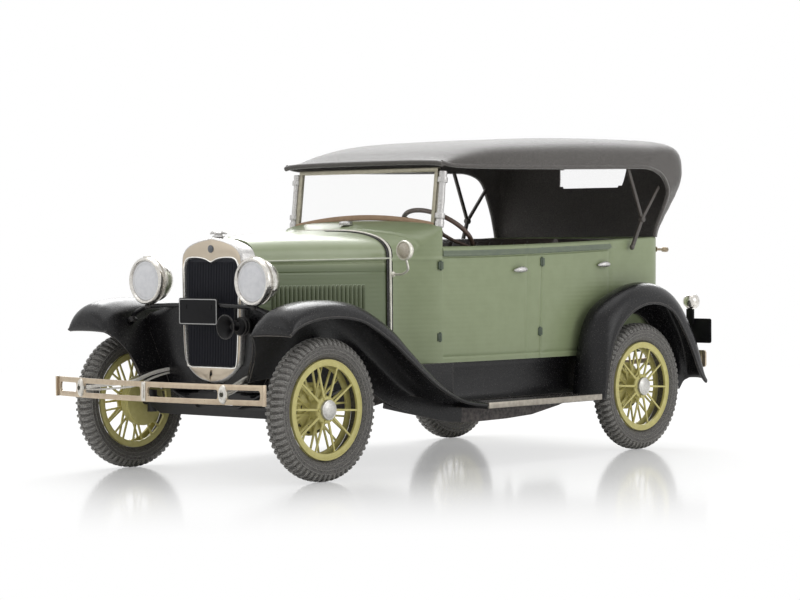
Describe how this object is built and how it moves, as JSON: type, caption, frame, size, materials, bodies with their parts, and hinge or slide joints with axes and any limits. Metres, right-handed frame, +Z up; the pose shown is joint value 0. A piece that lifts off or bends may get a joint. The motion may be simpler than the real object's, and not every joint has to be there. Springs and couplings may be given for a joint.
{
  "type": "scale model of an open touring car of about 1930",
  "caption": "Scale model of an open touring car with a raised cloth top, spoked wheels that turn on stub axles, flowing fenders and slotted bumpers.",
  "frame": {"origin": "on the ground, midway between the bumpers' faces and on the middle plane", "axes": "+X to the car's left, +Y to its rear, +Z up"},
  "size_m": [0.0193, 0.0436, 0.021],
  "materials": {
    "body_paint": "satin sage-green enamel on cast resin",
    "black_paint": "satin black enamel, rubbed grey-brown on the edges",
    "floor_plastic": "dull dark grey moulding",
    "exhaust_metal": "dull brown-black paint",
    "nickel": "warm nickel on etched sheet",
    "radiator_black": "dull black with a fine upright grid",
    "chrome": "silver paint, slightly uneven",
    "screen_bronze": "brown-beige satin",
    "clear_glazing": "clear acetate",
    "lamp_lens": "pale blue-grey lens",
    "top_cloth": "grained dark grey cloth, black inside",
    "iron_paint": "dark grey-brown paint",
    "seat_leather": "dull near-black leather cloth",
    "steering_brown": "dark brown",
    "plate_black": "black enamel, bare, with a pale border",
    "tyre_rubber": "dull grey-black vinyl with a block tread",
    "wheel_paint": "olive-yellow enamel on etched discs"
  },
  "bodies": {
    "root": {"chassis_frame": "black_paint", "floor_pan": "floor_plastic", "engine_sump": "black_paint", "exhaust": "exhaust_metal", "front_axle": "black_paint", "rear_axle": "black_paint", "front_spring": "black_paint", "rear_spring": "black_paint", "fender_front_left": "black_paint", "fender_front_right": "black_paint", "fender_rear_left": "black_paint", "fender_rear_right": "black_paint", "running_board_left": "black_paint", "running_board_right": "black_paint", "splash_aprons": "black_paint", "body_tub": "body_paint", "cowl": "body_paint", "bonnet": "body_paint", "cowl_band": "nickel", "dashboard": "body_paint", "radiator_shell": "nickel", "radiator_core": "radiator_black", "filler_caps": "chrome", "windscreen_frame": "screen_bronze", "windscreen_glass": "clear_glazing", "windscreen_posts": "chrome", "soft_top": "top_cloth", "rear_window": "clear_glazing", "top_irons": "iron_paint", "top_rests": "iron_paint", "front_seat": "seat_leather", "rear_seat": "seat_leather", "steering_wheel": "steering_brown", "steering_column": "black_paint", "control_levers": "black_paint", "headlamp_shells": "chrome", "headlamp_lenses": "lamp_lens", "headlamp_bar": "black_paint", "horn": "black_paint", "front_number_plate": "plate_black", "rear_number_plate": "plate_black", "tail_lamp": "chrome", "cowl_lamps": "chrome", "front_bumper": "nickel", "rear_bumperettes": "nickel", "door_handles": "chrome"},
    "wheel_body_front_left": {"tyre_front_left": "tyre_rubber", "wheel_front_left": "wheel_paint", "hub_cap_front_left": "chrome"},
    "wheel_body_front_right": {"tyre_front_right": "tyre_rubber", "wheel_front_right": "wheel_paint", "hub_cap_front_right": "chrome"},
    "wheel_body_rear_left": {"tyre_rear_left": "tyre_rubber", "wheel_rear_left": "wheel_paint", "hub_cap_rear_left": "chrome"},
    "wheel_body_rear_right": {"tyre_rear_right": "tyre_rubber", "wheel_rear_right": "wheel_paint", "hub_cap_rear_right": "chrome"}
  },
  "joints": [
    {"name": "spin_front_left", "type": "hinge", "parent": "root", "child": "wheel_body_front_left", "pos_m": [0.00817, -0.01548, 0.0042], "axis": [1, 0, 0], "continuous": true},
    {"name": "spin_front_right", "type": "hinge", "parent": "root", "child": "wheel_body_front_right", "pos_m": [-0.00817, -0.01548, 0.0042], "axis": [1, 0, 0], "continuous": true},
    {"name": "spin_rear_left", "type": "hinge", "parent": "root", "child": "wheel_body_rear_left", "pos_m": [0.00817, 0.01475, 0.0042], "axis": [1, 0, 0], "continuous": true},
    {"name": "spin_rear_right", "type": "hinge", "parent": "root", "child": "wheel_body_rear_right", "pos_m": [-0.00817, 0.01475, 0.0042], "axis": [1, 0, 0], "continuous": true}
  ]
}
